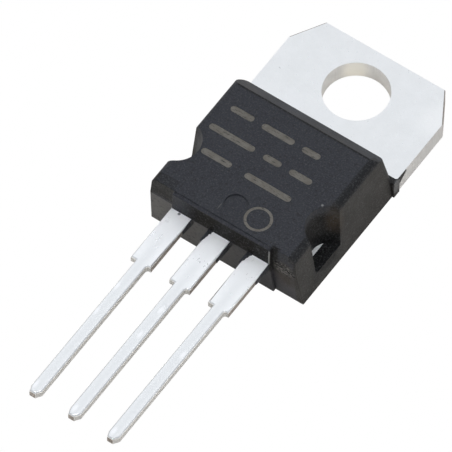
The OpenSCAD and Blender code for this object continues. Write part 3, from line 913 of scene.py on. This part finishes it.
CHIP_START, CHIP_END = Vector((3.50, -12.775, 3.42)), Vector((4.62, -12.755, 2.98))
RIDGE_START, RIDGE_END = Vector((3.80, -12.70, 2.62)), Vector((4.40, -12.67, 2.45))
CHIPS, RIDGES = 9, 7
for i in range(CHIPS):
    place = CHIP_START.lerp(CHIP_END, i / (CHIPS - 1)) + Vector((0, 0, draw.uniform(-0.12, 0.12)))
    chip = lump(place, (draw.uniform(0.08, 0.16), draw.uniform(0.05, 0.09), draw.uniform(0.05, 0.12)))
    combine(housing, chip, "DIFFERENCE")
for i in range(RIDGES):
    place = RIDGE_START.lerp(RIDGE_END, i / (RIDGES - 1))
    ridge = lump(place, (0.09, draw.uniform(0.03, 0.05), 0.03), 0.15)
    combine(housing, ridge, "UNION")
print("faces with chips:", len(housing.data.polygons))

# %% [markdown]
# The laser marking is plain: three rows of bars and a ring, cut a little way into the front face,
# so that they follow the face from every side. The floors of the cuts get the laser's crust.

# %% Marking
MARK_CUT = 0.012
BAR_HALF = 0.20
ROWS = ((-6.50, ((-3.80, -2.30), (-1.75, 0.35), (0.90, 2.05))),
        (-8.10, ((-4.10, -1.15), (-0.55, 0.60), (1.15, 2.60))),
        (-9.65, ((-3.55, -1.60), (-0.70, 2.30))))
RING_AT, RING_R, RING_LINE = (1.55, -11.63), 0.80, 0.16


def rounded_bar(start_x, end_x, y, half, steps=8):
    """A bar along X with round ends, from just under the front face to above it."""
    angles = [math.pi * i / steps for i in range(steps + 1)]
    outline = [(end_x - half + half * math.sin(t), y - half * math.cos(t)) for t in angles]
    outline += [(start_x + half - half * math.sin(t), y + half * math.cos(t)) for t in angles]
    mesh = bmesh.new()
    low, high = FRONT_Z - MARK_CUT, FRONT_Z + over
    ends = [[mesh.verts.new((x * MM, y * MM, z * MM)) for x, y in outline] for z in (low, high)]
    mesh.faces.new(list(reversed(ends[0])))
    mesh.faces.new(ends[1])
    for i in range(len(outline)):
        j = (i + 1) % len(outline)
        mesh.faces.new((ends[0][i], ends[0][j], ends[1][j], ends[1][i]))
    return mesh


for y, bars in ROWS:
    for start_x, end_x in bars:
        combine(housing, rounded_bar(start_x, end_x, y, BAR_HALF), "DIFFERENCE")
ring = as_object(cone(RING_AT, FRONT_Z - MARK_CUT, FRONT_Z + over, RING_R, RING_R, 64), "ring")
core_r = RING_R - RING_LINE
combine(ring, cone(RING_AT, FRONT_Z - 0.1, FRONT_Z + 1, core_r, core_r, 64), "DIFFERENCE")
combine(housing, ring, "DIFFERENCE")

# %% [markdown]
# Last, the metal is taken out of the plastic with copies of its own solids, so that the pad shows
# at the back and at the bottom of the notches, and the leads come out of fitting slots. The copies
# go a little below the back face, so that no two faces lie in one plane.

# %% Room for the metal
for node_name in ("heatsink_tab_with_centre_lead", "left_lead", "right_lead"):
    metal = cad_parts[node_name].copy()
    metal.data = metal.data.copy()
    metal.parent = None
    scene.collection.objects.link(metal)
    welded = bmesh.new()
    welded.from_mesh(metal.data)
    bmesh.ops.remove_doubles(welded, verts=welded.verts, dist=WELD)
    for vertex in welded.verts:
        if vertex.co.z < 0.01 * MM:
            vertex.co.z -= 0.05 * MM
    welded.to_mesh(metal.data)
    welded.free()
    combine(housing, metal, "DIFFERENCE")
body = bmesh.new()
body.from_mesh(housing.data)
bpy.data.objects.remove(housing)
bmesh.ops.remove_doubles(body, verts=body.verts, dist=0.0005 * MM)
bmesh.ops.dissolve_limit(body, angle_limit=math.radians(0.3), verts=body.verts, edges=body.edges)
body.normal_update()
print("open edges after the cuts:", open_edges(body))

# %% [markdown]
# The rims of the notches and of the ejector mark are found by their distance from the axis and
# rounded now that all cuts are made.

# %% Rims


def on_notch_rim(edge):
    """True for the edges where a notch's wall meets the front, the side or its rounding."""
    at = middle_of(edge)
    if at.z < TAB_T + 0.03:
        return False
    wall_r = NOTCH_FLOOR_R + (NOTCH_FRONT_R - NOTCH_FLOOR_R) * (at.z - TAB_T) / (FRONT_Z - TAB_T)
    return abs(math.hypot(abs(at.x) - NOTCH_X, at.y - NOTCH_Y) - wall_r) < 0.01


def on_mark_rim(edge):
    at = middle_of(edge)
    return at.z > FRONT_Z - 0.001 and abs(math.hypot(at.x, at.y - MARK_Y) - MARK_R) < 0.03


print("notch rims:", round_edges(body, 0.04, on_notch_rim, 2, clamp=False))
print("mark rim:", round_edges(body, 0.02, on_mark_rim, 1, clamp=False))
print("open edges:", open_edges(body))
EPOXY, LASER = 0, 1
for face in body.faces:
    burnt = face.normal.z > 0.99 and abs(face.calc_center_median().z / MM - FRONT_Z + MARK_CUT) < 0.002
    face.material_index = LASER if burnt else EPOXY
finish_piece(body, "housing", "moulded_body", [epoxy, laser])

# %% [markdown]
# The tab and the middle lead are one stamping. A punch pulls the sheet's front edge down a little
# and leaves the back edge sharper, so the front edges get the larger radius. Its upright faces are
# the punched walls. Where bars were cut away last they are bare: at the tab's two slanting corners,
# the leads' wide parts and the tips.

# %% Stamped metal helpers
TIN, DIPPED, WALL, HOLE, CUT = range(5)
STAMPED_PAINTS = [tin, dipped, shaded_outer_wall, lit_hole_wall, bare_cut]
HOLE_R = 1.91
WIDE_END_Y = -16.78
TIP_Y = -26.88


def paint_stamping(mesh):
    """Gives each face of a stamping its finish, by how it faces and where it is."""
    counts = [0] * len(STAMPED_PAINTS)
    for face in mesh.faces:
        middle = face.calc_center_median() / MM
        standing = abs(face.normal.z) < 0.3
        slanting = min(abs(face.normal.x), abs(face.normal.y)) > 0.3
        on_lead = middle.y < LEAD_END_Y
        on_wide_side = middle.y > WIDE_END_Y and abs(face.normal.x) > 0.6
        at_tip = middle.y < TIP_Y + 0.6 and face.normal.y < -0.6
        if on_lead and standing and (on_wide_side or at_tip):
            face.material_index = CUT
        elif on_lead:
            face.material_index = DIPPED
        elif not standing:
            face.material_index = TIN
        elif math.hypot(middle.x, middle.y) < HOLE_R + 0.05:
            face.material_index = HOLE
        else:
            face.material_index = CUT if slanting and middle.y > 0 else WALL
        counts[face.material_index] += 1
    return counts


def outside(edge):
    """True for a lead's edge outside the body or just inside it."""
    return middle_of(edge).y < LEAD_END_Y + 0.1


def round_lead(mesh):
    """Rounds the front edges of the leads more than their back edges."""
    front = round_edges(mesh, 0.18, lambda e: outside(e) and middle_of(e).z > LEAD_TOP_Z - 0.02, 4, DIPPED)
    back = round_edges(mesh, 0.04, lambda e: outside(e) and middle_of(e).z < LEAD_LOW_Z + 0.02, 2, DIPPED)
    return front, back


# %% [markdown]
# The tab's own edges turn in the finish of the walls beside them, and at the cut corners in the
# finish of the cut. Its back edges stay nearly sharp.

# %% Tab with the middle lead
tab = copy_solid("heatsink_tab_with_centre_lead")
print("tab faces by finish:", paint_stamping(tab))
TAB_EDGE_Y = -3.49


def slants(edge):
    """True for an edge of the tab's cut corners."""
    along = (edge.verts[0].co - edge.verts[1].co).normalized()
    at = middle_of(edge)
    return at.y > 0 and min(abs(along.x), abs(along.y)) > 0.3 and math.hypot(at.x, at.y) > 3


def on_tab_front(edge):
    return middle_of(edge).y > TAB_EDGE_Y and middle_of(edge).z > TAB_T - 0.02


def on_tab_back(edge):
    return middle_of(edge).y > TAB_EDGE_Y and middle_of(edge).z < 0.02


cut_edges = round_edges(tab, 0.06, lambda e: on_tab_front(e) and slants(e), 3, CUT)
front = round_edges(tab, 0.06, on_tab_front, 3, WALL)
back = round_edges(tab, 0.03, on_tab_back, 2)
print("tab edges rounded:", cut_edges, front, back, "lead edges rounded:", round_lead(tab))
finish_piece(tab, "tab_and_middle_lead", "heatsink_tab_with_centre_lead",
             STAMPED_PAINTS)

# %% [markdown]
# The two outer leads are the same strip, each with a wider foot inside the plastic. They are worked
# in the same way as the middle one.

# %% Outer leads
for side in ("left", "right"):
    lead = copy_solid(side + "_lead")
    paint_stamping(lead)
    print(side, "lead edges rounded:", round_lead(lead))
    finish_piece(lead, side + "_outer_lead", side + "_lead", STAMPED_PAINTS)

# %% [markdown]
# The last cell keeps the box of the solids beside the box of what is shown, so that the two can be
# compared, and hands the scene over.

# %% Sizes and finish
size = {"cad": [list(corner) for corner in cad_box], "visual": [list(corner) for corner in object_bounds()]}
print("box of the solids:", [[round(v / MM, 3) for v in c] for c in size["cad"]])
print("box of the pieces:", [[round(v / MM, 3) for v in c] for c in size["visual"]])
